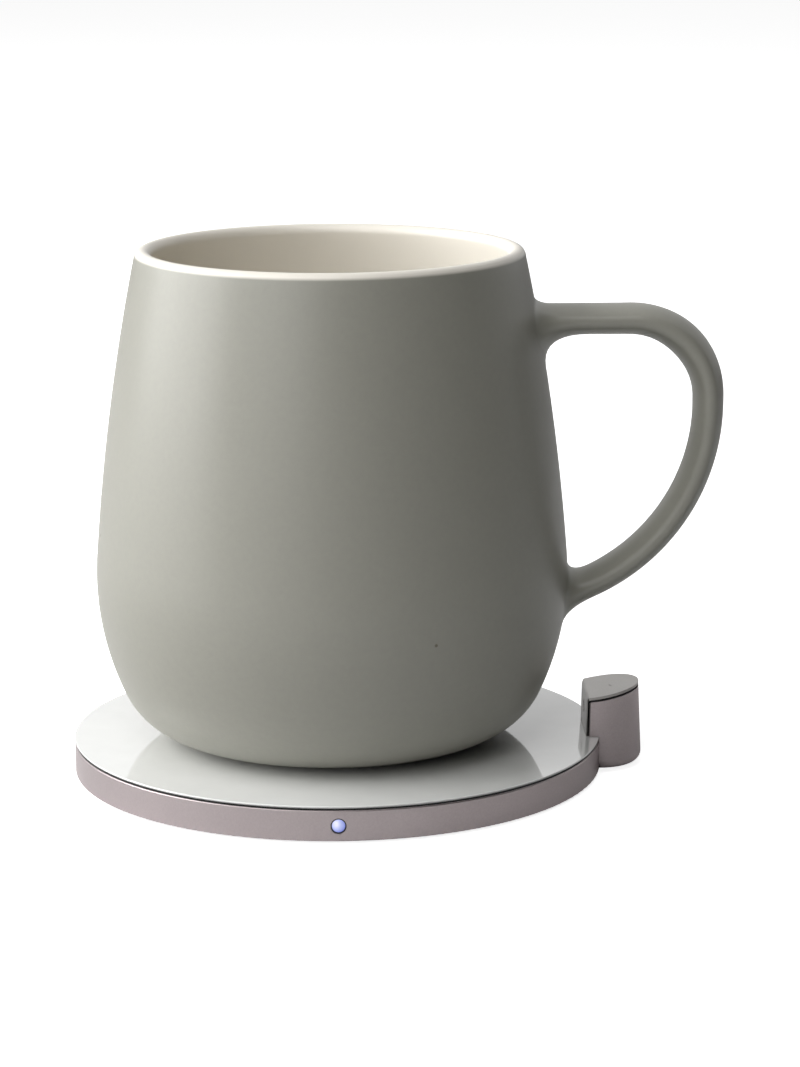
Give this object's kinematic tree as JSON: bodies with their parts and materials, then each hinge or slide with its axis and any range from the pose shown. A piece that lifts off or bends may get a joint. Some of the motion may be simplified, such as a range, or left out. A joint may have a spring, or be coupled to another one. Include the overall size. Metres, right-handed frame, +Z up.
{
  "type": "electric mug warmer",
  "caption": "Flat round induction warmer with a glass plate, a sensor tower, an indicator lamp and its matching stoneware mug.",
  "frame": {"origin": "centre of the base's foot ring, on the surface that it stands on", "axes": "+Z up, +X from the base's centre to the tower and the mug's handle, -Y to the front with the lamp"},
  "size_m": [0.1288, 0.1053, 0.1045],
  "materials": {
    "silicone": "matt",
    "dark_moulding": "fine moulded texture",
    "anodised_aluminium": "bead-blasted and anodised, satin",
    "cover_aluminium": "bead-blasted and anodised, satin",
    "black_moulding": "moulded",
    "black_bond": "matt",
    "ferrite": "sintered",
    "coil_wire": "enamelled copper",
    "mica": "pressed sheet",
    "epoxy": "moulded epoxy",
    "circuit_board": "solder mask",
    "capacitor_ceramic": "fired",
    "screw_steel": "zinc plated",
    "inlet_steel": "nickel plated",
    "lamp_chip": "cast silicone",
    "lamp_lens": "polished, lit",
    "white_glass": "polished, back-printed white",
    "window_acrylic": "polished",
    "ribbon": "polyimide",
    "glazed_stoneware": "satin grey glaze outside, cream glaze inside",
    "film_metal": "fired metal film"
  },
  "bodies": {
    "warmer": {"foot_ring": "silicone", "bottom_cover": "dark_moulding", "side_ring": "anodised_aluminium", "coil_tray": "black_moulding", "ferrite_plate": "ferrite", "transmitter_coil": "coil_wire", "coil_leads": "coil_wire", "mica_sheet": "mica", "thermistor_post": "silicone", "plate_thermistor": "epoxy", "main_board": "circuit_board", "board_screws": "screw_steel", "power_chips": "epoxy", "tank_capacitors": "capacitor_ceramic", "filter_inductor": "epoxy", "flex_connector": "black_moulding", "lamp_led": "lamp_chip", "light_pipe": "lamp_lens", "lamp_bezel": "black_moulding", "inlet_shell": "inlet_steel", "inlet_tongue": "black_moulding", "top_deck": "black_moulding", "cover_screws": "screw_steel", "glass_bond": "black_bond", "glass_plate": "white_glass", "tower_shell": "anodised_aluminium", "tower_gasket": "black_bond", "tower_cover": "cover_aluminium", "sensor_window": "window_acrylic", "sensor_head": "epoxy", "sensor_board": "circuit_board", "sensor_board_screws": "screw_steel", "sensor_flex": "ribbon", "tower_screws": "screw_steel", "tower_post_screw": "screw_steel"},
    "mug": {"mug_body": "glazed_stoneware", "mug_handle": "glazed_stoneware", "heater_film": "film_metal"}
  },
  "joints": [
    {"name": "mug_lift", "type": "slide", "parent": "warmer", "child": "mug", "axis": [0, 0, 1], "range_m": [0, 0.15]}
  ]
}
